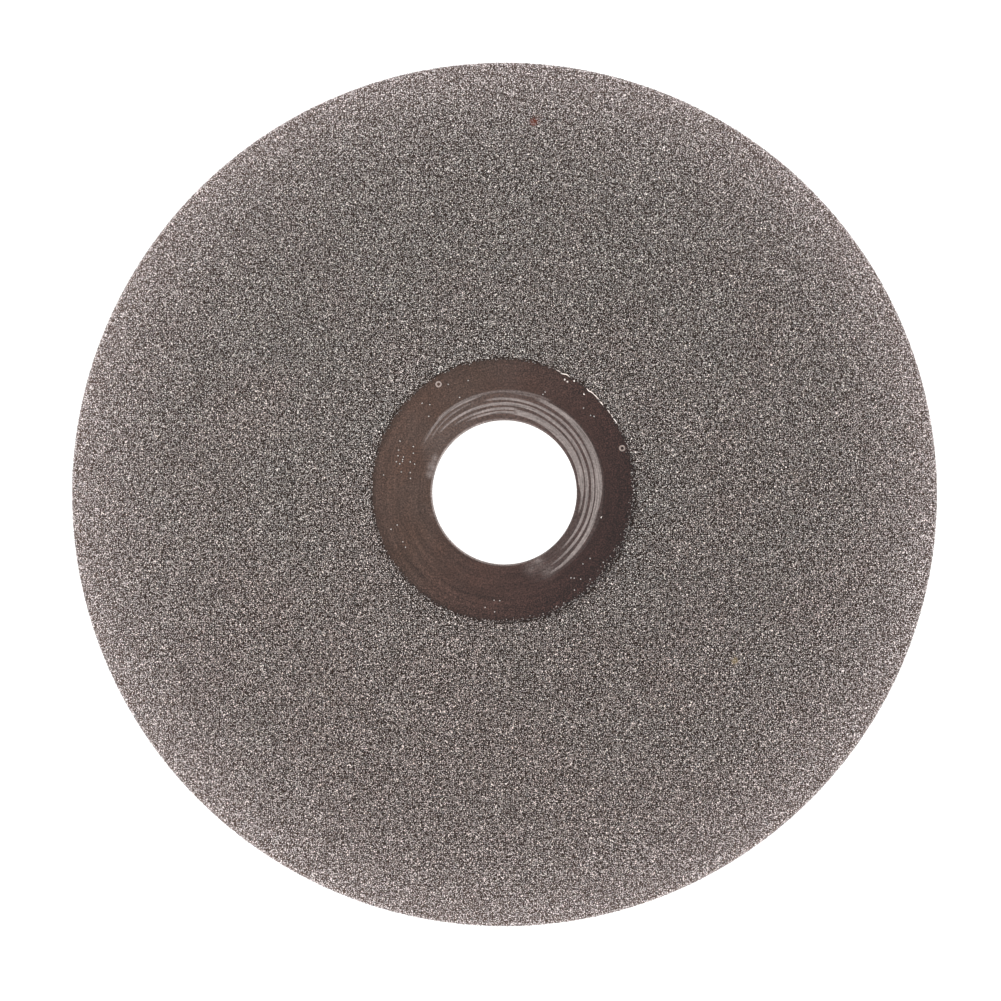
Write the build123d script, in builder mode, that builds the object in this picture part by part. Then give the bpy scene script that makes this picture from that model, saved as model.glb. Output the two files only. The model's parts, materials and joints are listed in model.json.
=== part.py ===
"""Electroplated diamond flat-lap wheel: a thin steel plate with one diamond face and a bare arbor zone.

Frame: the wheel lies on its back face at z = 0 with the diamond face up. +Z is the arbor axis,
and the origin is on that axis, in the back face.
"""

from build123d import *

import math
import os
import random

# Wheel, over the coating
WHEEL_DIAMETER = 152.4
BORE_DIAMETER = 25.4

# Steel plate
CORE_THICKNESS = 1.2
CORE_CORNER_RADIUS = 0.35
BACK_CHAMFER = 0.15
BORE_CHAMFER = 0.2

# Coating over the face, round the front corner and part of the way down the rim:
# the nickel holds each diamond by about half its height
BOND_THICKNESS = 0.15
GRIT_PROUD = 0.15
BOND_RIM_FOOT = 0.45
GRIT_RIM_FOOT = 0.55

# Zone round the bore that was masked while plating, which isn't quite central
BARE_RADIUS = 23.3
BARE_CENTRE = (-0.16, 0.33)
GRIT_SETBACK = 0.2

# Facing cut round the bore: the plate sat tilted, so the cut runs out on one side
FACING_RADIUS = 17.2
FACING_CENTRE = (0.46, 0.59)
FACING_DEEP_SIDE = 41.5
FACING_RUN_OUT = 5.1
FACING_TILT = 0.62
TOOL_MARK_PITCH = 0.88
TOOL_MARK_RIDGE = 0.045
TOOL_MARK_RISE = 0.35
CUTTER_HEIGHT = 2.0

# Single diamonds plated on inside the masked zone, by sector:
# first angle, last angle, inner radius, outer radius, count
STRAY_SIZE = 0.26
STRAY_HALF_HEIGHT = 0.09
STRAY_TAPER = 32
STRAY_SEED = 11
STRAY_ZONES = [
    (152, 172, 16.5, 21.5, 16),
    (104, 138, 18.2, 21.5, 6),
    (196, 214, 19.5, 21.8, 4),
    (258, 282, 18.4, 21.8, 4),
    (300, 330, 18.4, 21.6, 8),
    (30, 70, 18.4, 21.6, 5),
]

# Ring-shaped nickel spots, where bubbles lifted the mask: radius and angle from the arbor axis
SPOT_OUTER_RADIUS = 0.56
SPOT_INNER_RADIUS = 0.28
SPOT_HEIGHT = 0.08
SPOT_EDGE = 0.03
SPOT_PLACES = [(22.3, 121.4), (22.1, 20.5)]

CORE_RADIUS = WHEEL_DIAMETER / 2 - BOND_THICKNESS - GRIT_PROUD
BORE_RADIUS = BORE_DIAMETER / 2


def polar_point(radius, angle):
    """X and Y of the point at a radius from the arbor axis and an angle in degrees."""
    return radius * math.cos(math.radians(angle)), radius * math.sin(math.radians(angle))


def coat_section(inner_offset, outer_offset, foot):
    """Half section of a coat that lies between two offsets from the plate, down to a foot on the rim."""
    flat_edge = CORE_RADIUS - CORE_CORNER_RADIUS
    corner_height = CORE_THICKNESS - CORE_CORNER_RADIUS
    inner_radius = CORE_CORNER_RADIUS + inner_offset
    outer_radius = CORE_CORNER_RADIUS + outer_offset
    inner_face = corner_height + inner_radius
    outer_face = corner_height + outer_radius
    with BuildSketch(Plane.XZ) as section:
        with BuildLine():
            Line((BORE_RADIUS, inner_face), (flat_edge, inner_face))
            CenterArc((flat_edge, corner_height), inner_radius, 0, 90)
            Polyline(
                (flat_edge + inner_radius, corner_height),
                (flat_edge + inner_radius, foot),
                (flat_edge + outer_radius, foot),
                (flat_edge + outer_radius, corner_height),
            )
            CenterArc((flat_edge, corner_height), outer_radius, 0, 90)
            Polyline((flat_edge, outer_face), (BORE_RADIUS, outer_face), (BORE_RADIUS, inner_face))
        make_face()
    return section.sketch


def facing_location():
    """Where the facing cutter sits: its lower side meets the plate's face on a chord and dips beyond it."""
    chord_middle = polar_point(-FACING_RUN_OUT, FACING_DEEP_SIDE)
    level = Plane(
        origin=(*chord_middle, CORE_THICKNESS),
        x_dir=(*polar_point(1, FACING_DEEP_SIDE), 0),
        z_dir=(0, 0, 1),
    )
    tilted = level.rotated((0, FACING_TILT, 0))
    centre = level.to_local_coords(Vector(*FACING_CENTRE, CORE_THICKNESS))
    return Plane(
        origin=tilted.from_local_coords(Vector(centre.X, centre.Y, 0)),
        x_dir=tilted.x_dir,
        z_dir=tilted.z_dir,
    ).location


def stray_planes():
    """A level plane for each stray diamond, turned by chance, half a crystal above the steel."""
    chance = random.Random(STRAY_SEED)
    planes = []
    for first_angle, last_angle, inner_radius, outer_radius, count in STRAY_ZONES:
        for _ in range(count):
            radius = chance.uniform(inner_radius, outer_radius)
            x, y = polar_point(radius, chance.uniform(first_angle, last_angle))
            origin = (x, y, CORE_THICKNESS + STRAY_HALF_HEIGHT)
            turned = (*polar_point(1, chance.uniform(0, 60)), 0)
            planes.append(Plane(origin=origin, x_dir=turned, z_dir=(0, 0, 1)))
    return planes


# Facing cutter: a disc with a saw-tooth lower side, one tooth for each turn of the tool
tool_mark_count = int((FACING_RADIUS - BORE_RADIUS) / TOOL_MARK_PITCH)
tool_marks = [(0, 0), (FACING_RADIUS - tool_mark_count * TOOL_MARK_PITCH, 0)]
for mark in reversed(range(tool_mark_count)):
    mark_end = FACING_RADIUS - mark * TOOL_MARK_PITCH
    tool_marks.append((mark_end - (1 - TOOL_MARK_RISE) * TOOL_MARK_PITCH, TOOL_MARK_RIDGE))
    tool_marks.append((mark_end, 0))

with BuildPart() as facing_cutter:
    with BuildSketch(Plane.XZ):
        with BuildLine():
            Polyline(*tool_marks, (FACING_RADIUS, CUTTER_HEIGHT), (0, CUTTER_HEIGHT), close=True)
        make_face()
    revolve(axis=Axis.Z)

# Steel plate: turned blank, front corner rounded, back corner and bore chamfered, then faced round the bore
with BuildPart() as steel_core:
    Cylinder(CORE_RADIUS, CORE_THICKNESS, align=(Align.CENTER, Align.CENTER, Align.MIN))
    fillet(steel_core.faces().sort_by(Axis.Z)[-1].edges(), CORE_CORNER_RADIUS)
    chamfer(steel_core.faces().sort_by(Axis.Z)[0].edges(), BACK_CHAMFER)
    Hole(BORE_RADIUS)
    bore_wall = steel_core.faces().filter_by(GeomType.CYLINDER).sort_by(SortBy.AREA)[0]
    chamfer(bore_wall.edges().filter_by(GeomType.CIRCLE), BORE_CHAMFER)
    with Locations(facing_location()):
        add(facing_cutter.part, mode=Mode.SUBTRACT)
steel_core.part.label = "steel_core"

# Nickel bond: the plated layer that holds the diamonds
bond_section = coat_section(0, BOND_THICKNESS, BOND_RIM_FOOT)
with BuildPart() as nickel_bond:
    revolve(bond_section, axis=Axis.Z)
    with Locations((*BARE_CENTRE, 0)):
        Hole(BARE_RADIUS, depth=WHEEL_DIAMETER)
nickel_bond.part.label = "nickel_bond"

# Diamond grit: the envelope of the crystals' tips that stand out of the nickel
grit_section = coat_section(BOND_THICKNESS, BOND_THICKNESS + GRIT_PROUD, GRIT_RIM_FOOT)
with BuildPart() as diamond_grit:
    revolve(grit_section, axis=Axis.Z)
    with Locations((*BARE_CENTRE, 0)):
        Hole(BARE_RADIUS + GRIT_SETBACK, depth=WHEEL_DIAMETER)
diamond_grit.part.label = "diamond_grit"

# Stray diamonds: separate six-sided crystals, tapered to both ends, standing on the bare steel
with BuildPart() as stray_diamonds:
    with BuildSketch(*stray_planes()):
        RegularPolygon(STRAY_SIZE / 2, 6)
    extrude(amount=STRAY_HALF_HEIGHT, both=True, taper=STRAY_TAPER)
stray_diamonds.part.label = "stray_diamonds"

# Nickel spots: two small plated rings on the bare steel
with BuildPart() as nickel_spots:
    with BuildSketch(Plane.XY.offset(CORE_THICKNESS)):
        with Locations(*[polar_point(radius, angle) for radius, angle in SPOT_PLACES]):
            Circle(SPOT_OUTER_RADIUS)
            Circle(SPOT_INNER_RADIUS, mode=Mode.SUBTRACT)
    extrude(amount=SPOT_HEIGHT)
    fillet(nickel_spots.edges().group_by(Axis.Z)[-1], SPOT_EDGE)
nickel_spots.part.label = "nickel_spots"

os.makedirs("parts", exist_ok=True)
export_step(steel_core.part, "parts/steel_core.step")
export_step(nickel_bond.part, "parts/nickel_bond.step")
export_step(diamond_grit.part, "parts/diamond_grit.step")
export_step(stray_diamonds.part, "parts/stray_diamonds.step")
export_step(nickel_spots.part, "parts/nickel_spots.step")
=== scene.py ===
"""Looks of the electroplated diamond flat-lap wheel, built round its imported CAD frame.

The wheel lies on its back with the diamond face up, seen from straight above. Lengths named here are in
millimetres and become metres when a mesh is made. Angles are in degrees, counter-clockwise from +X.
"""

import json
import math

import bpy
import numpy as np
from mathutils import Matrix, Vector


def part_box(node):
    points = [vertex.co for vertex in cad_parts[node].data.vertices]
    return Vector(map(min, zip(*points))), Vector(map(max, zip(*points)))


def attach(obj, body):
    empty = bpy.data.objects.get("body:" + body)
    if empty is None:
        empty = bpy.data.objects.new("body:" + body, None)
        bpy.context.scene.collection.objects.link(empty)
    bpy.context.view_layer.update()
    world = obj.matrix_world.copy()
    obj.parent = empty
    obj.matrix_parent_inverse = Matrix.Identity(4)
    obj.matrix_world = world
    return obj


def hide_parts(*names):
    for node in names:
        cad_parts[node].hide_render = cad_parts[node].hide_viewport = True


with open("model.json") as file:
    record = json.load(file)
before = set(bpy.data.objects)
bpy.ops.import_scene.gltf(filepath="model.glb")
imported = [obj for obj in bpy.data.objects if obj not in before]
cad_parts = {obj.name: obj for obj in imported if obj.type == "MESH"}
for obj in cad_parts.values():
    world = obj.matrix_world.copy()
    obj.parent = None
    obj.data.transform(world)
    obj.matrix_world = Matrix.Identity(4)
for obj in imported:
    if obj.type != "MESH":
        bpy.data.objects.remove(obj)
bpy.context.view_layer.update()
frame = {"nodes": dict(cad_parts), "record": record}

MM = 0.001

# ---------------------------------------------------------------- sizes

# From the frame
_, core_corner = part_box("steel_core")
bond_foot_corner, bond_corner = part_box("nickel_bond")
grit_foot_corner, grit_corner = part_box("diamond_grit")
CORE_RADIUS, CORE_TOP = core_corner.x / MM, core_corner.z / MM
BOND_RADIUS, BOND_TOP, BOND_FOOT = bond_corner.x / MM, bond_corner.z / MM, bond_foot_corner.z / MM
GRIT_TOP, GRIT_FOOT = grit_corner.z / MM, grit_foot_corner.z / MM
arbor_bore = next(mount for mount in frame["record"]["mounts"] if mount["name"] == "arbor_bore")
BORE_RADIUS = arbor_bore["dims"]["r_mm"]
GRIT_PROUD = GRIT_TOP - BOND_TOP

# Turned plate, as in the CAD
CORNER_RADIUS = 0.35
BACK_CHAMFER = 0.15
BORE_CHAMFER = 0.2
BARE_RADIUS = 23.3
BARE_CENTRE = np.array([-0.16, 0.33])
FACING_RADIUS = 17.2
FACING_CENTRE = np.array([0.46, 0.59])
FACING_DEEP_SIDE = 41.5
FACING_RUN_OUT = 5.1
FACING_TILT = 0.62

# Passes of the facing tool, round the facing centre: angle, middle radius, width and brightness along each,
# then how deep they are, over what width and angle they fade out, and the faint brightness between them
TOOL_PASSES = [
    [(-18, 13.24, 0.3, 0.5), (-4, 13.2, 0.45, 0.9), (4, 13.05, 1.0, 1), (45, 13.13, 1.1, 1),
     (84, 13.62, 0.95, 1)],
    [(84, 13.47, 0.42, 1), (105, 13.64, 0.38, 0.95), (121, 13.86, 0.2, 0.5)],
    [(84, 14.15, 0.42, 1), (105, 14.26, 0.42, 1), (129, 14.53, 0.25, 0.5)],
    [(-47, 14.23, 0.25, 0.5), (-30, 14.17, 0.42, 0.9), (0, 14.03, 0.56, 1), (30, 14.21, 0.53, 1),
     (60, 14.47, 0.56, 1), (75, 14.83, 0.56, 1), (97, 15.09, 0.5, 1), (120, 15.3, 0.4, 0.95),
     (140, 15.53, 0.35, 0.5)],
    [(-60, 15.4, 0.25, 0.4), (-45, 15.18, 0.4, 1), (0, 15.04, 0.56, 1), (45, 15.29, 0.46, 1),
     (75, 15.66, 0.42, 1), (97, 15.97, 0.38, 0.95), (104, 16.0, 0.3, 0.3)],
    [(-64, 16.6, 0.25, 0.6), (-45, 16.3, 0.66, 1), (-15, 16.0, 0.8, 1), (0, 16.1, 1.16, 1),
     (30, 16.35, 1.06, 1), (60, 16.6, 0.68, 1), (72, 16.8, 0.6, 0.5)],
    [(64, 17.05, 0.7, 0.3), (82, 17.1, 0.7, 0.4), (92, 17.2, 0.35, 0.45), (104, 17.2, 0.4, 0.5),
     (112, 17.05, 0.5, 0.95), (130, 17.1, 0.4, 1), (143, 16.85, 0.35, 0.6), (152, 16.7, 0.2, 0.2)],
    [(112, 16.35, 0.25, 0.3), (127, 16.33, 0.28, 0.6), (146, 16.1, 0.25, 0.25)],
]
PASS_DEPTH = 0.02
PASS_BLUR = 0.07
PASS_FADE = 5
FACING_HAZE = 0.08

# Smears where the tool ran out: x, y, radius, strength
SMEARS = [
    (5.9, -12.2, 0.7, 0.32), (4.6, -13.4, 1.0, 0.16), (7.6, -13.9, 1.1, 0.14),
    (-12.7, 4.5, 0.7, 0.6), (-13.1, 3.1, 0.55, 0.52),
    (-12.2, 5.9, 0.6, 0.42), (-12.9, -0.5, 0.35, 0.12), (-12.6, -3.9, 0.35, 0.14), (0.5, 21.5, 2.6, 0.03),
]

# Grit: spacing and mean size, how much crystals vary in size and shape, and how high they are for their width
GRIT_PITCH = 0.32
CRYSTAL_SIZE = 0.3
CRYSTAL_SPREAD = 0.16
CRYSTAL_STRAIN = 0.13
CRYSTAL_SQUASH = 0.8
GRIT_SEED = 5
GRIT_RINGS = 9

# How crystals are pushed off each other: rounds, pitches kept apart and share of the gap made up each time
SETTLING_ROUNDS = 12
NEAREST = 0.9
PUSH = 0.4

# Brightness of the crystals: how much it varies by face, as painted highlights and painted shade, and by
# crystal, as logarithms, the brightest as a share of the mean shade, how it is evened over cells of this
# width, and how much darker the rim is, as painted shade where crystals face sideways
FACE_PAINTED_LIGHT_CONTRAST = 2.0
CRYSTAL_CONTRAST = 0.8
BRIGHTEST = 6.3
TONE_CELL = 0.2
TONE_EVENING = 0.9
RIM_PAINTED_SHADE = 1.0

# Plating that crept under the mask: its side and reach, its crystals, their share all round the edge and
# how small they are, and how much further in and more ragged the nickel's edge is on that side
SEEPAGE_SIDE = -32
SEEPAGE_REACH = 1.8
SEEPAGE_CRYSTALS = 900
SEEPAGE_ALL_ROUND = 0.6
CREPT_SIZE = 0.6
EDGE_CREEP = 0.15
EDGE_RAGGED = 0.6

# Brightness of the coat: painted light gains towards the rim, the side where it is darker and by how much
BROAD_PAINTED_LIGHT = 0.4
RIM_PAINTED_LIGHT = 2.1
DARKER_SIDE = -7
SIDE_DARKENING = 0.09

# Nickel left by the mask: first angle, last angle and share covered by slivers on its edge
FLAKE_ARCS = [(19.5, 25.5, 0.6), (30.5, 37.5, 0.95), (40.5, 44.5, 0.75), (46.5, 50.5, 0.75), (60, 66, 0.4)]

# Chips of nickel on the bare steel: x, y, size
NICKEL_CHIPS = [
    (10.6, 19.9, 0.3), (11.1, 19.5, 0.2), (12.3, 19.6, 0.24), (14.0, 17.3, 0.22), (17.0, -4.4, 0.25),
]
FLAKE_SEED = 23

# Colours, in linear light, and tints that the coat's colour is multiplied by
GRIT_COLOUR = (0.1765, 0.1345, 0.1165)
# Lone crystals on the steel get a much paler copy of the grit's colour: painted sparkle
STRAY_SPARKLE_COLOUR = (0.5, 0.46, 0.44)
WARM_TINT = (1.03, 0.992, 0.985, 1)
COOL_TINT = (0.97, 1.008, 1.0, 1)
# The rim's tint is the tint of the painted light there
RIM_LIGHT_TINT = (1.0, 0.995, 1.045, 1)
# The bond is dull nickel made much darker as painted shade in the gaps between crystals
BOND_COLOUR_WITH_GAP_SHADE = (0.034, 0.0255, 0.0225)
# Slivers and chips are near-white and barely metallic: bright nickel, partly a painted glint
FLAKE_GLINT_COLOUR = (0.95, 0.92, 0.9)
SPOT_COLOUR = (0.42, 0.37, 0.355)
FILM_COLOURS = ((0.063, 0.034, 0.024, 1), (0.066, 0.04, 0.031, 1))
# The film's colour on its darker side, away from the painted light
FILM_SHADED_SIDE_COLOUR = (0.085, 0.036, 0.031, 1)
STEEL_COLOURS = ((0.36, 0.335, 0.32, 1), (0.25, 0.22, 0.2, 1))
FRESH_COLOURS = ((0.33, 0.275, 0.26, 1), (0.42, 0.36, 0.34, 1))

# Film: the side where painted light makes it lightest, and the side where it is wiped in rings
FILM_PAINTED_LIGHT_SIDE = 160
FILM_WIPED_SIDE = 245

# Handling scratches on the plain steel: slant in radians and pitch
STEEL_SCRATCHES = ((0.6, 2.2), (1.9, 1.7))

# Rust spots: x, y, radius, strength, colour
RUST_SPOTS = [
    (5.1, 65.5, 0.6, 0.95, (0.2, 0.04, 0.02)),
    (5.6, 65.9, 0.9, 0.35, (0.12, 0.05, 0.035)),
    (40.4, -29.7, 0.6, 0.6, (0.36, 0.27, 0.13)),
]
RUST_WARP = 0.9

# Meshes: points round each ring, rings over each zone, and steps round a corner
SEGMENTS = 840
FACED_RINGS = 78
BARE_RINGS = 20
BOND_RINGS = 92
CORNER_TURNS = (22.5, 45, 67.5, 90)

# How far plated pieces reach into the steel, so that nothing shows through, and the deepest that the face
# and its cuts lie under the plate's top
SINK = 0.02
FACE_DEPTH = BORE_CHAMFER + 0.4

# Studio: softboxes as name, side, elevation and power in watts; distance and size in metres
SOFTBOXES = [
    ("softbox_a", 315, 30, 5.4),
    ("softbox_b", 235, 30, 5.2),
    ("softbox_c", 145, 30, 4.8),
    ("softbox_d", 50, 30, 4.2),
]
LIGHT_DISTANCE = 1.1
LIGHT_SIZE = 0.3
WORLD_LIGHT = 0.45
HORIZON_LIGHT = 1.0
HORIZON_BAND = (0.06, 0.16)
FLOOR_REACH = 2500
FLOOR_GLOW = 0.62
FLOOR_GAP = 0.02

# Camera: lens, width seen at the wheel's face, point aimed at, and lean from straight above
FOCAL_LENGTH = 180
SENSOR_WIDTH = 36
FRAME_WIDTH = 175.97
AIM = (-0.71, -1.49)
CAMERA_LEAN = 3.4


# ---------------------------------------------------------------- mesh helpers

def polar_point(radius, angle):
    """X and Y at a radius and an angle in degrees from the arbor axis."""
    return np.array([radius * math.cos(math.radians(angle)), radius * math.sin(math.radians(angle))])


def between(a, b, share):
    """Part of the way from one number or point to another."""
    return a + (b - a) * share


def build(name, points, faces, material, smooth_below=None):
    """A piece from points in millimetres and arrays of faces, each array with one number of corners."""
    mesh = bpy.data.meshes.new(name)
    loops = np.concatenate([f.ravel() for f in faces]).astype(np.int32)
    sizes = np.concatenate([np.full(len(f), f.shape[1]) for f in faces]).astype(np.int32)
    starts = np.concatenate([[0], np.cumsum(sizes)[:-1]]).astype(np.int32)
    mesh.vertices.add(len(points))
    mesh.vertices.foreach_set("co", (points * MM).astype(np.float32).ravel())
    mesh.loops.add(len(loops))
    mesh.loops.foreach_set("vertex_index", loops)
    mesh.polygons.add(len(sizes))
    mesh.polygons.foreach_set("loop_start", starts)
    mesh.polygons.foreach_set("loop_total", sizes)
    mesh.update(calc_edges=True)
    mesh.materials.append(material)
    if smooth_below is not None:
        mesh.shade_smooth()
        mesh.set_sharp_from_angle(angle=math.radians(smooth_below))
    piece = bpy.data.objects.new(name, mesh)
    bpy.context.scene.collection.objects.link(piece)
    return piece


def paint(piece, label, domain, values):
    """Gives the piece numbers that its material reads, one for each point or face."""
    piece.data.attributes.new(label, "FLOAT", domain).data.foreach_set("value", values.astype(np.float32))


def add_to_body(piece, slot, *nodes):
    """The piece rides on the wheel and may stand for CAD nodes, which are hidden. The slot is not used."""
    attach(piece, "root")
    if nodes:
        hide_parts(*nodes)


def ring_faces(rings, segments, closed=True):
    """Quads between neighbouring rings of points, each ring closed on itself."""
    last = rings if closed else rings - 1
    i = np.arange(last)[:, None]
    j = np.arange(segments)[None, :]
    a, b = i * segments, (i + 1) % rings * segments
    k = (j + 1) % segments
    return np.stack([a + j, b + j, b + k, a + k], -1).reshape(-1, 4)


def ring_points(rings, segments):
    """Points of rings given as (centre, radius, height).

    A radius is a number or a function of the angle, and a height a number or a function of x and y.
    """
    angle = np.linspace(0, 2 * np.pi, segments, endpoint=False)
    points = []
    for centre, radius, height in rings:
        reach = radius(angle) if callable(radius) else radius
        x = centre[0] + reach * np.cos(angle)
        y = centre[1] + reach * np.sin(angle)
        z = height(x, y) if callable(height) else np.full(segments, height)
        points.append(np.stack([x, y, z], -1))
    return np.concatenate(points)


def ripple(seed, waves, low, high, level):
    """A smooth random function of x and y: waves of wavelengths between low and high, of about this level."""
    rng = np.random.default_rng(seed)
    direction = rng.uniform(0, 2 * np.pi, waves)
    number = 2 * np.pi / rng.uniform(low, high, waves)
    phase = rng.uniform(0, 2 * np.pi, waves)

    def height(x, y):
        across = np.multiply.outer(x, np.cos(direction)) + np.multiply.outer(y, np.sin(direction))
        return level * np.sqrt(2 / waves) * np.sin(across * number + phase).sum(-1)

    return height


# ---------------------------------------------------------------- material helpers

class Shader:
    """A node material with a Principled surface, built up by short calls."""

    def __init__(self, name):
        self.material = bpy.data.materials.new(name)
        self.material.use_nodes = True
        self.tree = self.material.node_tree
        self.surface = self.tree.nodes["Principled BSDF"]

    def add(self, kind, output=0, settings=None, **inputs):
        """Adds a node and returns one of its outputs.

        An input goes by its name, or by its place as i0, i1 and so on. It is a number, a colour or an output.
        """
        node = self.tree.nodes.new("ShaderNode" + kind)
        for key, value in (settings or {}).items():
            setattr(node, key, value)
        for key, value in inputs.items():
            self.put(node.inputs[int(key[1:]) if key[1:].isdigit() else key.replace("_", " ")], value)
        return node.outputs[output]

    def put(self, socket, value):
        """Gives a socket a value or joins an output to it."""
        if isinstance(value, bpy.types.NodeSocket):
            self.tree.links.new(value, socket)
        else:
            socket.default_value = value

    def set(self, **inputs):
        """Sets inputs of the Principled surface."""
        for key, value in inputs.items():
            self.put(self.surface.inputs[key.replace("_", " ")], value)

    def maths(self, operation, a, b=0.0, clamp=False):
        return self.add("Math", 0, {"operation": operation, "use_clamp": clamp}, i0=a, i1=b)

    def product(self, a, b):
        return self.maths("MULTIPLY", a, b)

    def vector(self, operation, a, b=(0, 0, 0), c=(0, 0, 0)):
        """Vector maths. A length, a distance and a dot product come out as numbers."""
        output = 1 if operation in ("LENGTH", "DISTANCE", "DOT_PRODUCT") else 0
        return self.add("VectorMath", output, {"operation": operation}, i0=a, i1=b, i2=c)

    def towards(self, place, angle, reach):
        """How far a place lies towards an angle in degrees, as a share of a reach."""
        return self.vector("DOT_PRODUCT", place, (*polar_point(1 / reach, angle), 0))

    def spread(self, value, low, high, to_low, to_high):
        """Maps a value from one range to another, and holds it inside."""
        node = self.tree.nodes.new("ShaderNodeMapRange")
        for index, item in enumerate((value, low, high, to_low, to_high)):
            self.put(node.inputs[index], item)
        return node.outputs[0]

    def swing(self, pattern, low, high):
        """Maps the usual range of a noise to another."""
        return self.spread(pattern, 0.3, 0.7, low, high)

    def patches(self, pattern, low=0, high=1):
        """Like swing, with more of the noise at its ends."""
        return self.spread(pattern, 0.35, 0.65, low, high)

    def noise(self, scale, detail=4.0, roughness=0.55, vector=None):
        """Noise with its scale in features per millimetre."""
        place = vector or self.place()
        return self.add("TexNoise", 0, None, Vector=place, Scale=scale, Detail=detail, Roughness=roughness)

    def rings(self, place, scale, around):
        """Noise drawn out into rings, by its scale across them per millimetre and its changes around."""
        across = self.maths("MULTIPLY", self.vector("LENGTH", place), scale)
        out = self.add("CombineXYZ", 0, None, Z=across)
        drawn = self.vector("MULTIPLY_ADD", self.vector("NORMALIZE", place), (around, around, 0), out)
        return self.noise(1.0, 4.0, 0.6, drawn)

    def place(self):
        """Object coordinates in millimetres."""
        return self.scaled(self.add("TexCoord", 3), 1 / MM)

    def ramp(self, value, stops):
        """Colour ramp from (position, colour) pairs."""
        node = self.tree.nodes.new("ShaderNodeValToRGB")
        while len(node.color_ramp.elements) < len(stops):
            node.color_ramp.elements.new(0.5)
        for element, (position, colour) in zip(node.color_ramp.elements, stops):
            element.position = position
            element.color = (*colour, 1)
        self.put(node.inputs[0], value)
        return node.outputs[0]

    def mix(self, share, a, b, blend="MIX"):
        """Mixes two colours."""
        node = self.tree.nodes.new("ShaderNodeMix")
        node.data_type, node.blend_type = "RGBA", blend
        for index, item in ((0, share), (6, a), (7, b)):
            self.put(node.inputs[index], item)
        return node.outputs[2]

    def scaled(self, colour, gain):
        """A colour times a number."""
        return self.add("VectorMath", 0, {"operation": "SCALE"}, i0=colour, Scale=gain)

    def bump(self, height, strength, distance):
        return self.add("Bump", 0, None, Height=height, Strength=strength, Distance=distance * MM)


def rim_share(shader):
    """Distance from the arbor axis as a share of the plate's radius."""
    return shader.product(shader.vector("LENGTH", shader.place()), 1 / CORE_RADIUS)


def painted_rim_light_and_side_gain(shader):
    """Brightness of the coat: painted light brightening it towards the rim, and a little darker towards one
    side.
    """
    share = rim_share(shader)
    # Painted light: the coat is made brighter towards the rim, as if lit more there
    broad_painted_light = shader.product(shader.maths("POWER", share, 3.0), BROAD_PAINTED_LIGHT)
    narrow_painted_light = shader.product(shader.maths("POWER", share, 13.0), RIM_PAINTED_LIGHT)
    toward_darker_side = shader.towards(shader.vector("NORMALIZE", shader.place()), DARKER_SIDE, 1)
    even = shader.spread(toward_darker_side, -1, 1, 1 + SIDE_DARKENING, 1 - SIDE_DARKENING)
    return shader.product(shader.maths("ADD", shader.maths("ADD", broad_painted_light, narrow_painted_light), 1.0), even)


def stained(shader, colour):
    """The colour with a few rust spots, where the plating is pin-holed."""
    place = shader.place()
    warp = shader.add("TexNoise", 1, None, Vector=place, Scale=1.8, Detail=3.0)
    flat = shader.vector("MULTIPLY", place, (1, 1, 0))
    warped = shader.vector("MULTIPLY_ADD", warp, (RUST_WARP, RUST_WARP, 0), flat)
    for x, y, radius, strength, rust in RUST_SPOTS:
        away = shader.vector("DISTANCE", warped, (x + RUST_WARP / 2, y + RUST_WARP / 2, 0))
        share = shader.spread(away, radius * 0.55, radius * 1.3, strength, 0.0)
        colour = shader.mix(share, colour, (*rust, 1))
    return colour


# ---------------------------------------------------------------- materials

def crystal_hue(shader, base, own, lift_with_painted_glints):
    """Grey, brown or straw by crystal, and nearly the same pale tint on every bright face, the tint of its
    painted highlight.
    """
    red, green, blue = base
    hue = shader.ramp(own, [
        (0.0, (red * 0.85, green * 0.82, blue * 0.8)),
        (0.45, (red, green, blue)),
        (0.85, (red * 1.15, green * 1.16, blue * 1.18)),
        (1.0, (red * 1.2, green * 1.16, blue * 1.14)),
    ])
    pale = (green * 1.17, green * 1.08, green * 1.03, 1)
    return shader.mix(shader.spread(lift_with_painted_glints, 0.8, 4.0, 0.0, 0.85), hue, pale)


def coat_drift(shader):
    """A faint tint over the whole coat: warm in front, cool at the back and a little violet at the rim, the
    tint of the painted rim light.
    """
    back = shader.spread(shader.towards(shader.place(), 90, CORE_RADIUS), -0.7, 0.7, 0.0, 1.0)
    cool = shader.maths("ADD", back, shader.patches(shader.noise(0.06, 3.0), -0.4, 0.4))
    drift = shader.mix(shader.add("Clamp", 0, None, Value=cool), WARM_TINT, COOL_TINT)
    return shader.mix(shader.maths("POWER", rim_share(shader), 6.0), drift, RIM_LIGHT_TINT)


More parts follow.
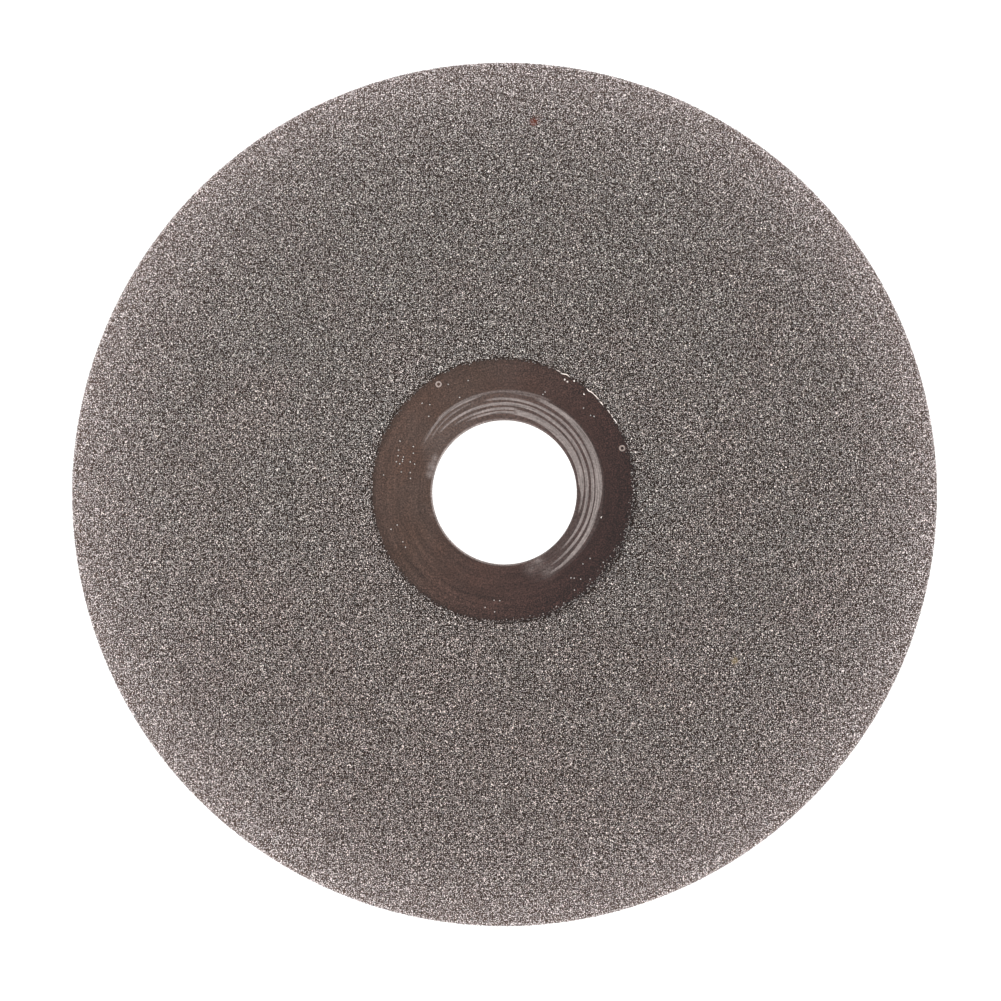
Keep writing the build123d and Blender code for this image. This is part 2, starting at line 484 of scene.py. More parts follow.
def diamond_material(name, base, contrast=0.0):
    """Crystals: each its own tone, with painted highlights and painted shade on their faces at random."""
    shader = Shader(name)
    own = shader.add("NewGeometry", "Random Per Island")
    # The face tone paints a highlight or a shade on each face; the brightest faces stand in for glints
    tone_and_painted_light = shader.add("Attribute", 2, {"attribute_name": "face_tone"})
    lift_with_painted_glints = shader.maths("ADD", tone_and_painted_light, shader.spread(own, 0, 1, -contrast, contrast))
    # The coat gain adds painted light towards the rim
    lift_with_painted_glints = shader.product(shader.maths("EXPONENT", lift_with_painted_glints), painted_rim_light_and_side_gain(shader))
    lift_with_painted_glints = shader.maths("MINIMUM", lift_with_painted_glints, BRIGHTEST)
    cloud = shader.swing(shader.noise(9.0), 0.85, 1.15)
    colour = shader.scaled(crystal_hue(shader, base, own, lift_with_painted_glints), shader.product(lift_with_painted_glints, cloud))
    shader.set(Base_Color=stained(shader, shader.mix(1.0, colour, coat_drift(shader), "MULTIPLY")))
    gloss = shader.spread(shader.maths("FRACT", shader.product(own, 57.0)), 0, 1, 0.12, 0.42)
    etch = shader.patches(shader.noise(14.0), 0.0, 0.12)
    shader.set(Roughness=shader.maths("ADD", gloss, etch), IOR=2.42)
    shader.set(Normal=shader.bump(shader.noise(22.0, 3.0), 0.25, 0.02))
    return shader.material


def nickel_material(name, shade, metallic):
    """Electroplated nickel: dull, nodular, a little warm."""
    shader = Shader(name)
    warmer = (shade[0] * 1.15, shade[1], shade[2] * 0.9)
    cloud = shader.swing(shader.noise(1.6), 0.75, 1.25)
    colour = shader.scaled(shader.mix(shader.noise(0.35), (*shade, 1), (*warmer, 1)), cloud)
    # The nickel too gets the coat's painted light towards the rim
    shader.set(Base_Color=stained(shader, shader.scaled(colour, painted_rim_light_and_side_gain(shader))), Metallic=metallic)
    shader.set(Roughness=shader.swing(shader.noise(6.0), 0.32, 0.6))
    shader.set(Normal=shader.bump(shader.noise(7.0, 5.0, 0.6), 0.8, 0.06))
    return shader.material


def film_colour(shader, place, turned, wiped, grain):
    """The brown film: painted light on one side, wiped in rings, pitted, dark at the mask's edge by stain and
    painted shade.
    """
    # Painted light: the film is lighter towards one side, and darker and redder away from it
    toward_painted_light = shader.towards(place, FILM_PAINTED_LIGHT_SIDE, BARE_RADIUS)
    low = shader.towards(place, FILM_WIPED_SIDE, BARE_RADIUS)
    tone_and_painted_light = shader.spread(toward_painted_light, -1, 1, 0.28, 1.42)
    wipe = shader.product(shader.spread(low, -0.5, 0.7, 0.25, 1.0), shader.swing(wiped, -0.32, 0.32))
    tone_and_painted_light = shader.product(tone_and_painted_light, shader.maths("ADD", wipe, 1.0))
    for pattern, range_low, range_high in (
        (shader.noise(3.4, 2.0, 0.6), 0.42, 1.58),
        (grain, 0.78, 1.22),
        (turned, 0.8, 1.2),
    ):
        tone_and_painted_light = shader.product(tone_and_painted_light, shader.swing(pattern, range_low, range_high))
    out = shader.vector("LENGTH", shader.vector("SUBTRACT", place, (*BARE_CENTRE, CORE_TOP)))
    near_edge = shader.spread(out, BARE_RADIUS - 6, BARE_RADIUS - 0.5, 0.25, 1.0)
    pitted = shader.product(near_edge, shader.spread(toward_painted_light, -0.7, 0.8, 1.0, 0.4))
    pits = shader.product(pitted, shader.spread(shader.noise(4.4, 1.0), 0.34, 0.66, -0.95, 0.75))
    tone_and_painted_light = shader.product(tone_and_painted_light, shader.maths("ADD", pits, 1.0))
    # Darker at the mask's edge: partly discoloured film, partly painted shade of the plating's step
    at_edge = shader.spread(out, BARE_RADIUS - 1.3, BARE_RADIUS - 0.1, 0.0, 0.5)
    edge_discolour_and_shade = shader.product(at_edge, shader.spread(low, -0.6, 0.3, 0.5, 1.0))
    tone_and_painted_light = shader.product(tone_and_painted_light, shader.maths("SUBTRACT", 1.0, edge_discolour_and_shade))
    film = shader.mix(shader.patches(shader.noise(0.16, 5.0, 0.6)), *FILM_COLOURS)
    return shader.scaled(shader.mix(shader.spread(toward_painted_light, -1.0, 0.5, 1.0, 0.0), film, FILM_SHADED_SIDE_COLOUR), tone_and_painted_light)


def plain_colour(shader, place, turned, wiped, grain):
    """Turned steel with stains and two sets of straight handling scratches."""
    plain = shader.mix(shader.patches(shader.noise(0.12, 5.0, 0.6)), *STEEL_COLOURS)
    plain = shader.scaled(plain, shader.swing(wiped, 0.72, 1.28))
    plain = shader.scaled(plain, shader.swing(turned, 0.7, 1.3))
    for slant, pitch in STEEL_SCRATCHES:
        drawn = shader.add("VectorRotate", 0, {"rotation_type": "Z_AXIS"}, Vector=place, Angle=slant)
        scratches = shader.noise(1.0, 1.0, 0.5, shader.vector("MULTIPLY", drawn, (0.07, pitch, 0.1)))
        plain = shader.scaled(plain, shader.spread(scratches, 0.69, 0.74, 1.0, 1.45))
    return shader.scaled(plain, shader.swing(grain, 0.85, 1.15))


def fresh_colour(shader, place, grain):
    """Bright steel, scored round the facing cut's centre."""
    scored = shader.rings(shader.vector("SUBTRACT", place, (*FACING_CENTRE, 0)), 4.5, 3.0)
    fresh = shader.mix(shader.swing(grain, 0, 1), *FRESH_COLOURS)
    fresh = shader.scaled(fresh, shader.swing(shader.noise(3.4, 3.0, 0.7), 0.7, 1.3))
    return shader.scaled(fresh, shader.swing(scored, 0.55, 1.45))


def steel_material(name):
    """Plate: turned steel, a brown film on the masked face, bright steel where the facing tool has cut, and a
    painted highlight on the bore's edge.
    """
    shader = Shader(name)
    place = shader.place()
    turned = shader.rings(place, 7.0, 1.4)
    wiped = shader.rings(place, 1.1, 2.0)
    grain = shader.noise(2.4, 6.0, 0.68)
    film = film_colour(shader, place, turned, wiped, grain)
    plain = plain_colour(shader, place, turned, wiped, grain)
    fresh = fresh_colour(shader, place, grain)

    coated = shader.add("Attribute", 2, {"attribute_name": "film"})
    cut = shader.add("Attribute", 2, {"attribute_name": "cut"})
    halfway = shader.product(cut, shader.maths("SUBTRACT", 1.2, cut))
    ragged = shader.product(halfway, shader.swing(shader.noise(2.6, 6.0, 0.75), -1.0, 1.0))
    # The cut attribute also holds the painted highlight on the bore's edge
    bright = shader.maths("ADD", cut, ragged, clamp=True)
    shader.set(Base_Color=shader.mix(bright, shader.mix(coated, plain, film), fresh))
    metal = shader.spread(coated, 0, 1, 0.85, 0.2)
    shader.set(Metallic=shader.maths("MAXIMUM", metal, shader.spread(bright, 0, 1, 0.0, 0.7)))
    rough = shader.mix(coated, (0.4, 0.4, 0.4, 1), (0.55, 0.55, 0.55, 1))
    rough = shader.mix(bright, rough, (0.42, 0.42, 0.42, 1))
    shader.set(Roughness=shader.maths("ADD", rough, shader.swing(grain, -0.06, 0.06)))
    shader.set(Normal=shader.bump(shader.maths("ADD", shader.product(turned, 1.2), grain), 0.3, 0.02))
    return shader.material


# ---------------------------------------------------------------- steel plate

film_waves = ripple(seed=3, waves=9, low=6, high=22, level=0.004)


def facing_depth(x, y):
    """How far the facing cut's mean plane lies under the plate's face."""
    along = x * math.cos(math.radians(FACING_DEEP_SIDE)) + y * math.sin(math.radians(FACING_DEEP_SIDE))
    return (along + FACING_RUN_OUT) * math.tan(math.radians(FACING_TILT))


def tool_passes(x, y):
    """How clearly a pass of the tool shows at each point, from 0 to 1."""
    dx, dy = x - FACING_CENTRE[0], y - FACING_CENTRE[1]
    radius, angle = np.hypot(dx, dy), np.degrees(np.arctan2(dy, dx))
    wobble = ripple(seed=31, waves=7, low=25, high=90, level=0.03)(angle, 0 * angle)
    seen = np.zeros_like(x)
    for course in TOOL_PASSES:
        angles, middles, widths, tones = np.array(course).T
        middle = np.interp(angle, angles, middles) + wobble
        half = np.interp(angle, angles, widths) / 2
        band = np.clip((half - np.abs(radius - middle)) / PASS_BLUR + 0.5, 0, 1)
        start = np.clip((angle - angles[0]) / PASS_FADE + 0.5, 0, 1)
        end = np.clip((angles[-1] - angle) / PASS_FADE + 0.5, 0, 1)
        seen = np.maximum(seen, np.interp(angle, angles, tones) * band * start * end)
    return seen


def face_height(x, y):
    return CORE_TOP + film_waves(x, y)


def faced_height(x, y):
    return face_height(x, y) - np.clip(facing_depth(x, y), 0, None) - PASS_DEPTH * tool_passes(x, y)


def core_rings():
    """The plate's rings: up the bore, over the faced zone and the bare face, down the rim and back."""
    axis = np.zeros(2)
    rings = [(axis, BORE_RADIUS, CORE_TOP * share) for share in (BORE_CHAMFER / CORE_TOP, 0.45, 0.6)]
    rings.append((axis, BORE_RADIUS, lambda x, y: faced_height(x, y) - BORE_CHAMFER))
    faced_start = BORE_RADIUS + BORE_CHAMFER
    for share in np.linspace(0, 1, FACED_RINGS):
        centre = between(axis, FACING_CENTRE, share)
        rings.append((centre, between(faced_start, FACING_RADIUS, share), faced_height))
    for share in np.linspace(0, 1, BARE_RINGS):
        centre = between(FACING_CENTRE, BARE_CENTRE, share)
        rings.append((centre, between(FACING_RADIUS + 0.03, BARE_RADIUS + 0.6, share), face_height))
    flat_edge = CORE_RADIUS - CORNER_RADIUS
    rings += [(axis, between(BARE_RADIUS + 1.2, flat_edge, share), CORE_TOP) for share in (0, 0.5, 1)]
    for turn in CORNER_TURNS:
        lean = math.radians(turn)
        height = CORE_TOP - CORNER_RADIUS * (1 - math.cos(lean))
        rings.append((axis, flat_edge + CORNER_RADIUS * math.sin(lean), height))
    rings.append((axis, CORE_RADIUS, BACK_CHAMFER))
    rings.append((axis, CORE_RADIUS - BACK_CHAMFER, 0))
    rings += [(axis, between(CORE_RADIUS, BORE_RADIUS, share), 0) for share in (0.33, 0.66)]
    rings.append((axis, BORE_RADIUS + BORE_CHAMFER, 0))
    return rings


def fresh_steel_and_bore_highlight(x, y):
    """How much fresh steel shows at each point of the face: passes, haze and smears, and a painted highlight
    on the bore's edge.
    """
    inside = np.hypot(x - FACING_CENTRE[0], y - FACING_CENTRE[1]) < FACING_RADIUS + 0.01
    haze = FACING_HAZE * np.clip(facing_depth(x, y) / 0.04 + 0.6, 0, 1) * inside
    for spot_x, spot_y, reach, strength in SMEARS:
        haze += strength * np.exp(-((x - spot_x) ** 2 + (y - spot_y) ** 2) / reach**2)
    at_bore = np.clip((BORE_RADIUS + 0.4 - np.hypot(x, y)) / 0.2, 0, 1)
    # Painted highlight: the bore's chamfer is shown as bright steel, strongest on the left
    bore_edge_highlight = 0.7 * at_bore * np.clip(0.6 - 0.6 * x / BORE_RADIUS, 0.1, 1)
    return np.maximum(tool_passes(x, y), np.maximum(haze, bore_edge_highlight))


def make_core(material):
    """The plate as one closed mesh, with what its material needs to know of the film, the fresh cut and the
    bore's painted highlight.
    """
    rings = core_rings()
    points = ring_points(rings, SEGMENTS)
    core = build("steel_plate", points, [ring_faces(len(rings), SEGMENTS)], material, smooth_below=22)
    x, y, z = points.T
    on_face = z > CORE_TOP - FACE_DEPTH
    paint(core, "cut", "POINT", np.clip(fresh_steel_and_bore_highlight(x, y) * on_face, 0, 1))
    paint(core, "film", "POINT", on_face & (np.hypot(x, y) < CORE_RADIUS - 1))
    add_to_body(core, "steel", "steel_core")


# ---------------------------------------------------------------- nickel bond

edge_waves = ripple(seed=8, waves=14, low=0.5, high=3.2, level=0.05)


def seepage(angle):
    """How far plating crept under the mask, from 0 to 1: most of it on one side."""
    return np.clip(np.cos(angle - math.radians(SEEPAGE_SIDE)), 0, 1) ** 2


def bare_edge(angle):
    """Radius of the masked zone's ragged edge about its own centre."""
    ragged = edge_waves(BARE_RADIUS * np.cos(angle), BARE_RADIUS * np.sin(angle))
    return BARE_RADIUS - EDGE_CREEP * seepage(angle) + ragged * (1 + EDGE_RAGGED * seepage(angle))


def edge_distance(spots):
    """How far points lie outside the masked zone's edge, and their angles about its centre."""
    off_centre = spots - BARE_CENTRE
    angle = np.arctan2(off_centre[:, 1], off_centre[:, 0])
    return np.hypot(*off_centre.T) - bare_edge(angle), angle


def bond_rings():
    """The plated layer's rings: over the rounded lip and the face, down the rim and back inside the steel."""
    axis = np.zeros(2)
    nodules = ripple(seed=21, waves=24, low=0.7, high=3.0, level=0.006)
    flat_edge = CORE_RADIUS - CORNER_RADIUS
    thickness = BOND_TOP - CORE_TOP
    rings = []
    for out, up in ((0.0, -SINK), (0.0, 0.45), (0.03, 0.8), (0.1, 1.0)):
        reach = lambda angle, out=out: bare_edge(angle) + out
        rings.append((BARE_CENTRE, reach, CORE_TOP + up * thickness))
    for step in range(1, BOND_RINGS + 1):
        share = step / BOND_RINGS
        centre = between(BARE_CENTRE, axis, share)
        reach = lambda angle, share=share: between(bare_edge(angle) + 0.1, flat_edge, share)
        rings.append((centre, reach, lambda x, y: BOND_TOP + nodules(x, y)))
    arc = CORNER_RADIUS + thickness
    corner_height = CORE_TOP - CORNER_RADIUS
    for turn in CORNER_TURNS:
        lean = math.radians(turn)
        rings.append((axis, flat_edge + arc * math.sin(lean), corner_height + arc * math.cos(lean)))
    rings.append((axis, BOND_RADIUS, BOND_FOOT + 0.05))
    rings.append((axis, CORE_RADIUS - SINK, BOND_FOOT))
    rings.append((axis, CORE_RADIUS - SINK, corner_height))
    rings.append((axis, flat_edge, CORE_TOP - SINK))
    return rings


def make_bond(material):
    rings = bond_rings()
    points = ring_points(rings, SEGMENTS)
    bond = build("nickel_layer", points, [ring_faces(len(rings), SEGMENTS)], material, smooth_below=40)
    add_to_body(bond, "nickel", "nickel_bond")


# ---------------------------------------------------------------- crystals

def crystal_kinds():
    """Unit crystals as (share, points, arrays of faces wound outwards): octahedron, block, cut corners."""
    octahedron = np.array([[1, 0, 0], [0, 1, 0], [-1, 0, 0], [0, -1, 0], [0, 0, 1], [0, 0, -1]], float)
    upper = [[0, 1, 4], [1, 2, 4], [2, 3, 4], [3, 0, 4]]
    lower = [[1, 0, 5], [2, 1, 5], [3, 2, 5], [0, 3, 5]]
    block = np.array([[x, y, z] for z in (-1, 1) for y in (-1, 1) for x in (-1, 1)], float) * 0.66
    block_faces = [[0, 2, 3, 1], [4, 5, 7, 6], [0, 1, 5, 4], [2, 6, 7, 3], [0, 4, 6, 2], [1, 3, 7, 5]]
    middles = [p for p in np.ndindex(3, 3, 3) if sum(c == 1 for c in p) == 1]
    cut = (np.array(middles, float) - 1) * 0.76
    cut_faces = {3: [], 4: []}
    directions = [np.array(p) - 1 for p in np.ndindex(3, 3, 3)]
    for d in directions:
        used = np.abs(d).sum()
        if used in (1, 3):
            reach = cut @ d
            corners = np.flatnonzero(reach > reach.max() - 1e-6)
            flat = cut[corners] - cut[corners].mean(0)
            first = flat[0]
            second = np.cross(d, first)
            order = np.argsort(np.arctan2(flat @ second, flat @ first))
            cut_faces[len(corners)].append(corners[order])
    return [
        (0.64, octahedron, [np.array(upper + lower)]),
        (0.3, block, [np.array(block_faces)]),
        (0.06, cut, [np.array(cut_faces[3]), np.array(cut_faces[4])]),
    ]


def random_turns(count, rng):
    """Rotation matrices spread evenly over all directions."""
    quaternions = rng.normal(size=(count, 4))
    w, x, y, z = (quaternions / np.linalg.norm(quaternions, axis=1, keepdims=True)).T
    return np.array([
        [1 - 2 * (y * y + z * z), 2 * (x * y - z * w), 2 * (x * z + y * w)],
        [2 * (x * y + z * w), 1 - 2 * (x * x + z * z), 2 * (y * z - x * w)],
        [2 * (x * z - y * w), 2 * (y * z + x * w), 1 - 2 * (x * x + y * y)],
    ]).transpose(2, 0, 1)


def patchiness(points, faces, tones):
    """How bright the coat round each face looks from above, as the logarithm of its share of the mean."""
    places, seen = [], []
    for group in faces:
        corners = points[group]
        a, b = corners[:, -2] - corners[:, 0], corners[:, -1] - corners[:, 1]
        seen.append(np.clip(a[:, 0] * b[:, 1] - a[:, 1] * b[:, 0], 0, None))
        places.append(corners.mean(1)[:, :2])
    seen = np.concatenate(seen)
    column, row = (np.concatenate(places) // TONE_CELL).astype(int).T
    column, row = column - column.min(), row - row.min()
    width, height = column.max() + 1, row.max() + 1
    cell = column * height + row
    light = np.minimum(np.exp(tones), BRIGHTEST)
    sums = []
    for share in (seen * light, seen):
        total = np.bincount(cell, share, width * height).reshape(width, height)
        for axis in (0, 1):
            total = (np.roll(total, 1, axis) + 2 * total + np.roll(total, -1, axis)) / 4
        sums.append(total.ravel()[cell] + 1e-9)
    local = sums[0] / sums[1]
    return np.log(local / (seen * light).sum() * seen.sum())


def grow_crystals(name, places, normals, sizes, dimming_and_painted_shade, rng, material):
    """One piece of separate closed crystals, each turned by chance and set so that its tip stands proud."""
    proud = GRIT_PROUD * rng.uniform(0.55, 1.0, len(places))
    pick = rng.random(len(places))
    points, faces, own, dimming_and_painted_shade_by_face, total, low = [], [], [], [], 0, 0.0
    for share, shape, shape_faces in crystal_kinds():
        mine = (pick >= low) & (pick < low + share)
        low += share
        count = int(mine.sum())
        strain = np.eye(3) + rng.normal(scale=CRYSTAL_STRAIN, size=(count, 3, 3))
        corners = np.einsum("nij,kj->nki", random_turns(count, rng) @ strain, shape)
        corners *= sizes[mine][:, None, None] / 2
        flatten = np.eye(3) - (1 - CRYSTAL_SQUASH) * normals[mine][:, :, None] * normals[mine][:, None, :]
        corners = corners @ flatten
        tip = np.einsum("nki,ni->nk", corners, normals[mine]).max(1)
        corners += (places[mine] + normals[mine] * (proud[mine] - tip)[:, None])[:, None]
        offsets = total + np.arange(count)[:, None, None] * len(shape)
        # A crystal's tone holds its dimming at the mask's edge and its painted shade on the rim
        tone_and_painted_light = dimming_and_painted_shade[mine] + CRYSTAL_CONTRAST * rng.uniform(-1, 1, count)
        for group in shape_faces:
            faces.append((group[None] + offsets).reshape(-1, group.shape[1]))
            own.append(np.repeat(tone_and_painted_light, len(group)))
            dimming_and_painted_shade_by_face.append(np.repeat(dimming_and_painted_shade[mine], len(group)))
        points.append(corners.reshape(-1, 3))
        total += count * len(shape)
    piece = build(name, np.concatenate(points), faces, material)
    # Each face gets a random painted highlight or painted shade on top of its crystal's tone
    tones = np.concatenate(own) + FACE_PAINTED_LIGHT_CONTRAST * rng.normal(size=sum(len(group) for group in faces))
    tones -= TONE_EVENING * patchiness(np.concatenate(points), faces, tones - np.concatenate(dimming_and_painted_shade_by_face))
    paint(piece, "face_tone", "FACE", tones)
    return piece


def scatter(width, height, pitch, rng):
    """Points over a rectangle about one pitch apart, pushed off each other, with no rows to see."""
    cells = np.array([math.ceil(width / pitch), math.ceil(height / pitch)])
    i, j = np.meshgrid(np.arange(cells[0]), np.arange(cells[1]), indexing="ij")
    spots = np.stack([i, j], -1) + rng.random((*cells, 2))
    for _ in range(SETTLING_ROUNDS):
        push = np.zeros_like(spots)
        for step in np.ndindex(3, 3):
            shift = (step[0] - 1, step[1] - 1)
            if shift == (0, 0):
                continue
            gap = spots - np.roll(spots, shift, (0, 1))
            gap -= cells * np.round(gap / cells)
            reach = np.linalg.norm(gap, axis=-1, keepdims=True) + 1e-9
            push += gap / reach * np.clip(NEAREST - reach, 0, None) * PUSH
        spots += push
    return spots.reshape(-1, 2) * np.array([width, height]) / cells


def face_places(rng):
    """Where crystals sit on the flat face, thinning out at the masked zone."""
    flat_edge = CORE_RADIUS - CORNER_RADIUS
    spots = scatter(2 * flat_edge, 2 * flat_edge, GRIT_PITCH, rng) - flat_edge
    from_edge, angle = edge_distance(spots)
    chance = np.clip(from_edge / (0.4 + 0.5 * seepage(angle)) + 0.5, 0, 1)
    spots = spots[(np.hypot(*spots.T) < flat_edge) & (from_edge > 0.1) & (rng.random(len(spots)) < chance)]
    return np.column_stack([spots, np.full(len(spots), BOND_TOP)])


def crept_places(rng):
    """Where crystals sit on the steel just inside the mask's edge, where plating crept under it."""
    angle = rng.normal(math.radians(SEEPAGE_SIDE), 0.75, SEEPAGE_CRYSTALS)
    all_round = rng.random(SEEPAGE_CRYSTALS) < SEEPAGE_ALL_ROUND
    angle[all_round] = rng.uniform(-np.pi, np.pi, all_round.sum())
    inwards = SEEPAGE_REACH * rng.beta(0.8, 3.6, SEEPAGE_CRYSTALS) * (0.25 + 0.75 * seepage(angle))
    radius = bare_edge(angle) - inwards
    x = BARE_CENTRE[0] + radius * np.cos(angle)
    y = BARE_CENTRE[1] + radius * np.sin(angle)
    return np.column_stack([x, y, np.full(SEEPAGE_CRYSTALS, CORE_TOP)])


def rim_places(rng):
    """Where crystals sit round the front corner and down the rim, and the way each faces."""
    flat_edge = CORE_RADIUS - CORNER_RADIUS
    arc = BOND_TOP - CORE_TOP + CORNER_RADIUS
    corner_height = CORE_TOP - CORNER_RADIUS
    arc_length = arc * np.pi / 2
    drop = corner_height - GRIT_FOOT
    wrap = scatter(2 * np.pi * BOND_RADIUS, arc_length + drop, GRIT_PITCH, rng)
    turn = wrap[:, 0] / BOND_RADIUS
    lean = np.clip(wrap[:, 1] / arc, 0, np.pi / 2)
    radius = flat_edge + arc * np.sin(lean)
    height = corner_height + arc * np.cos(lean) - np.clip(wrap[:, 1] - arc_length, 0, None)
    rim = np.column_stack([radius * np.cos(turn), radius * np.sin(turn), height])
    rim_normals = np.column_stack([np.sin(lean) * np.cos(turn), np.sin(lean) * np.sin(turn), np.cos(lean)])
    return rim, rim_normals


def make_grit(material):
    """The whole coat of crystals, in rings from the bare zone to the rim."""
    rng = np.random.default_rng(GRIT_SEED)
    face = np.concatenate([face_places(rng), crept_places(rng)])
    rim, rim_normals = rim_places(rng)
    places = np.concatenate([face, rim])
    normals = np.concatenate([np.tile([0.0, 0.0, 1.0], (len(face), 1)), rim_normals])
    sizes = CRYSTAL_SIZE * np.exp(rng.normal(scale=CRYSTAL_SPREAD, size=len(places)))
    sizes *= np.where(places[:, 2] == CORE_TOP, CREPT_SIZE, 1.0)

    # Crystals are dimmer at the mask's edge, and darker where they face sideways, as painted shade on the rim
    # turned from the light
    from_edge, angle = edge_distance(places[:, :2])
    dimming_and_painted_shade = -(0.5 + 0.5 * seepage(angle)) * np.exp(-np.abs(from_edge) / (0.3 + 0.4 * seepage(angle)))
    dimming_and_painted_shade -= RIM_PAINTED_SHADE * (1 - normals[:, 2])

    # From the middle outwards, and the rim last
    order = np.argsort(np.hypot(places[:, 0], places[:, 1]) + 10 * (1 - normals[:, 2]))
    for number, ring in enumerate(np.array_split(order, GRIT_RINGS), 1):
        mine = places[ring], normals[ring], sizes[ring], dimming_and_painted_shade[ring]
        piece = grow_crystals(f"grit_ring_{number}", *mine, rng, material)
        add_to_body(piece, "diamond", "diamond_grit")


# ---------------------------------------------------------------- nickel flakes

def loft(stations):
    """A closed body through stations of the same number of corners each, as points and arrays of faces."""
    count, corners = stations.shape[:2]
    first = np.arange(corners)[None]
    last = (count - 1) * corners + first[:, ::-1]
    return stations.reshape(-1, 3), [ring_faces(count, corners, closed=False), np.concatenate([first, last])]


def edge_sliver(first, last, rng):
    """Stations of a thin curved sliver along the mask's edge, from one angle to another in degrees."""
    angles = np.radians(np.linspace(first, last, 6))
    inner = bare_edge(angles) - rng.uniform(0.14, 0.24) + rng.normal(scale=0.02, size=6)
    width = rng.uniform(0.12, 0.2) * np.array([0.3, 0.8, 1, 1, 0.7, 0.25])
    foot = CORE_TOP - SINK / 2
    top = BOND_TOP + rng.uniform(0.0, 0.08) + rng.normal(scale=0.01, size=6)
    stations = []
    for angle, near, wide, high in zip(angles, inner, width, top):
        out = np.array([math.cos(angle), math.sin(angle)])
        section = ((near, foot), (near + wide, foot), (near + wide, high), (near, high - 0.02))
        stations.append([(*(BARE_CENTRE + reach * out), z) for reach, z in section])
    return np.array(stations)


def chip(x, y, size, rng):
    """Stations of a small shapeless chip of nickel on the bare steel."""
    angles = -np.sort(rng.uniform(0, 2 * np.pi / 7, 7) + np.arange(7) * 2 * np.pi / 7)
    reach = size * rng.uniform(0.35, 1.0, 7)
    outline = np.column_stack([x + reach * np.cos(angles), y + reach * np.sin(angles)])
    low = np.column_stack([outline, np.full(7, CORE_TOP - SINK)])
    high = np.column_stack([outline, CORE_TOP + rng.uniform(0.03, 0.07, 7)])
    return np.array([low, high])


def make_flakes(material):
    """Slivers and chips of nickel left by the mask, as one piece of closed bodies."""
    rng = np.random.default_rng(FLAKE_SEED)
    bodies = [loft(chip(x, y, size, rng)) for x, y, size in NICKEL_CHIPS]
    for first, last, share in FLAKE_ARCS:
        angle = first
        while angle < last:
            length = rng.uniform(1.2, 4.5)
            if rng.random() < share:
                bodies.append(loft(edge_sliver(angle, angle + length, rng)))
            angle += length + rng.uniform(0.1, 0.6)
    points, faces, total = [], {}, 0
    for body_points, body_faces in bodies:
        for group in body_faces:
            faces.setdefault(group.shape[1], []).append(group + total)
        points.append(body_points)
        total += len(body_points)
    faces = [np.concatenate(groups) for groups in faces.values()]
    flakes = build("nickel_flakes", np.concatenate(points), faces, material)
    add_to_body(flakes, "nickel", "nickel_bond")


def finish_cad_node(node, material):
    """A CAD node that is shown as it is, with a better material."""
    shown = frame["nodes"][node]
    shown.data.materials.clear()
    shown.data.materials.append(material)


# ---------------------------------------------------------------- stage, lights and camera

def make_floor():
    shader = Shader("pale_floor")
    pale = shader.mix(shader.noise(0.004), (0.9, 0.9, 0.9, 1), (0.88, 0.88, 0.88, 1))
    shader.set(Base_Color=pale, Roughness=0.9, Emission_Color=pale, Emission_Strength=FLOOR_GLOW)
    turns = ((-1, -1), (1, -1), (1, 1), (-1, 1))
    corners = np.array([(x * FLOOR_REACH, y * FLOOR_REACH, -FLOOR_GAP) for x, y in turns])
    floor = build("floor", corners, [np.array([[0, 1, 2, 3]])], shader.material)


def add_light(name, place, size, power):
    """A square softbox aimed at the wheel's centre. Place and size are in metres."""
    lamp = bpy.data.lights.new(name, "AREA")
    lamp.shape, lamp.size, lamp.energy = "SQUARE", size, power
    box = bpy.data.objects.new(name, lamp)
    box.location = place
    box.rotation_mode = "QUATERNION"
    box.rotation_quaternion = (-box.location).to_track_quat("-Z", "Y")
    bpy.context.scene.collection.objects.link(box)


def make_lights():
    for name, side, elevation, power in SOFTBOXES:
        lean = math.radians(elevation)
        x, y = polar_point(LIGHT_DISTANCE * math.cos(lean), side)
        add_light(name, (x, y, LIGHT_DISTANCE * math.sin(lean)), LIGHT_SIZE, power)


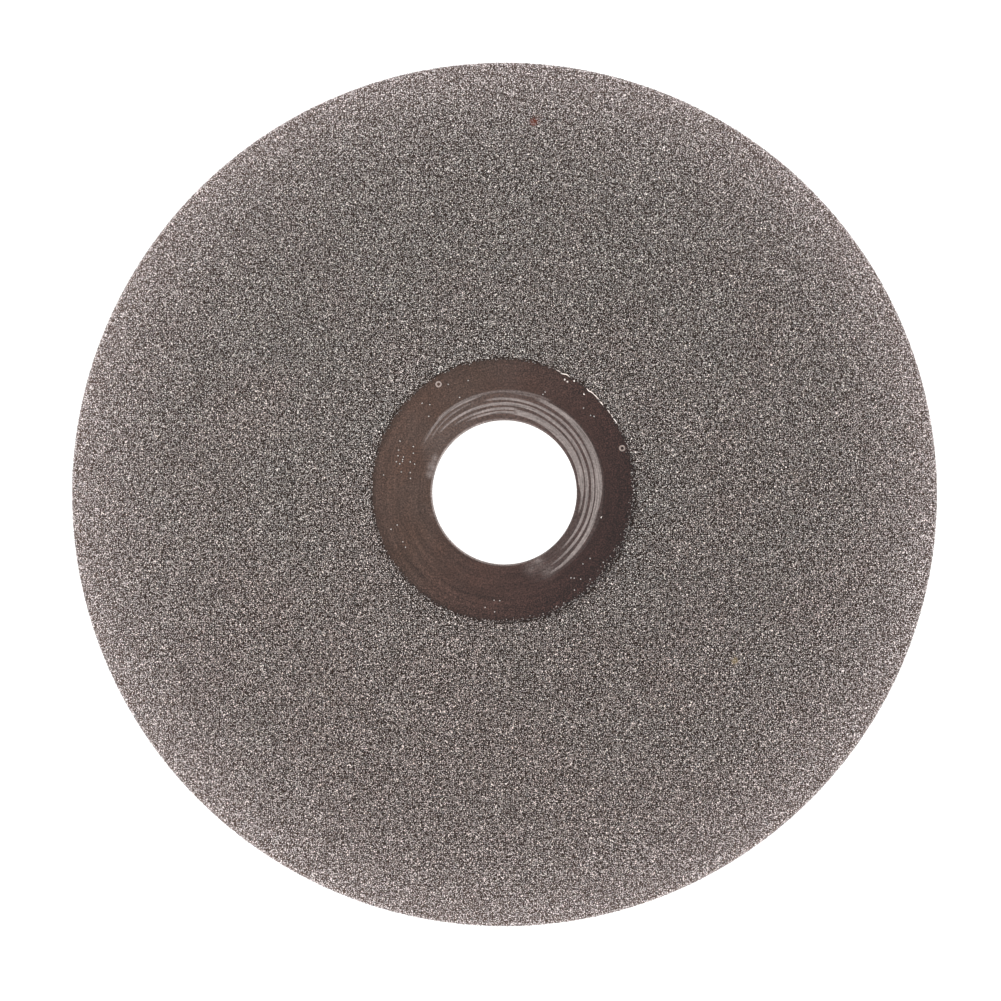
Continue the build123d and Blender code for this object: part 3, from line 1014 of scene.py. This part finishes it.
def make_world():
    """White light all round, full near the horizon and dimmer above it."""
    world = bpy.data.worlds.new("studio")
    bpy.context.scene.world = world
    world.use_nodes = True
    nodes, links = world.node_tree.nodes, world.node_tree.links
    nodes["Background"].inputs["Color"].default_value = (1, 1, 1, 1)
    direction = nodes.new("ShaderNodeTexCoord")
    split = nodes.new("ShaderNodeSeparateXYZ")
    fade = nodes.new("ShaderNodeMapRange")
    for index, value in enumerate((*HORIZON_BAND, HORIZON_LIGHT, WORLD_LIGHT), 1):
        fade.inputs[index].default_value = value
    links.new(direction.outputs["Generated"], split.inputs[0])
    links.new(split.outputs["Z"], fade.inputs[0])
    links.new(fade.outputs[0], nodes["Background"].inputs["Strength"])


def make_camera():
    """A long lens over the face, leaning a little towards the front."""
    lens = bpy.data.cameras.new("camera")
    lens.lens, lens.sensor_width = FOCAL_LENGTH, SENSOR_WIDTH
    lens.clip_start, lens.clip_end = 0.01, 20
    distance = FRAME_WIDTH * FOCAL_LENGTH / SENSOR_WIDTH
    lean = math.radians(CAMERA_LEAN)
    camera = bpy.data.objects.new("camera", lens)
    x, y = AIM
    back, up = distance * math.sin(lean), GRIT_TOP + distance * math.cos(lean)
    camera.location = (x * MM, (y - back) * MM, up * MM)
    camera.rotation_euler = (lean, 0, 0)
    bpy.context.scene.collection.objects.link(camera)
    bpy.context.scene.camera = camera
    bpy.context.scene.view_settings.view_transform = "Standard"


make_floor()
make_lights()
make_world()
make_camera()
make_core(steel_material("steel"))
# The bond's dark colour is partly painted shade between the crystals
make_bond(nickel_material("plated_nickel", BOND_COLOUR_WITH_GAP_SHADE, metallic=0.8))
make_grit(diamond_material("diamond_crystal", GRIT_COLOUR))
# The slivers' near-white colour is partly a painted glint along the mask's edge
make_flakes(nickel_material("flake_nickel", FLAKE_GLINT_COLOUR, metallic=0.1))
# Painted sparkle: lone crystals are painted pale so that they shine
finish_cad_node("stray_diamonds", diamond_material("stray_crystal", STRAY_SPARKLE_COLOUR, contrast=0.32))
finish_cad_node("nickel_spots", nickel_material("spot_nickel", SPOT_COLOUR, metallic=0.6))
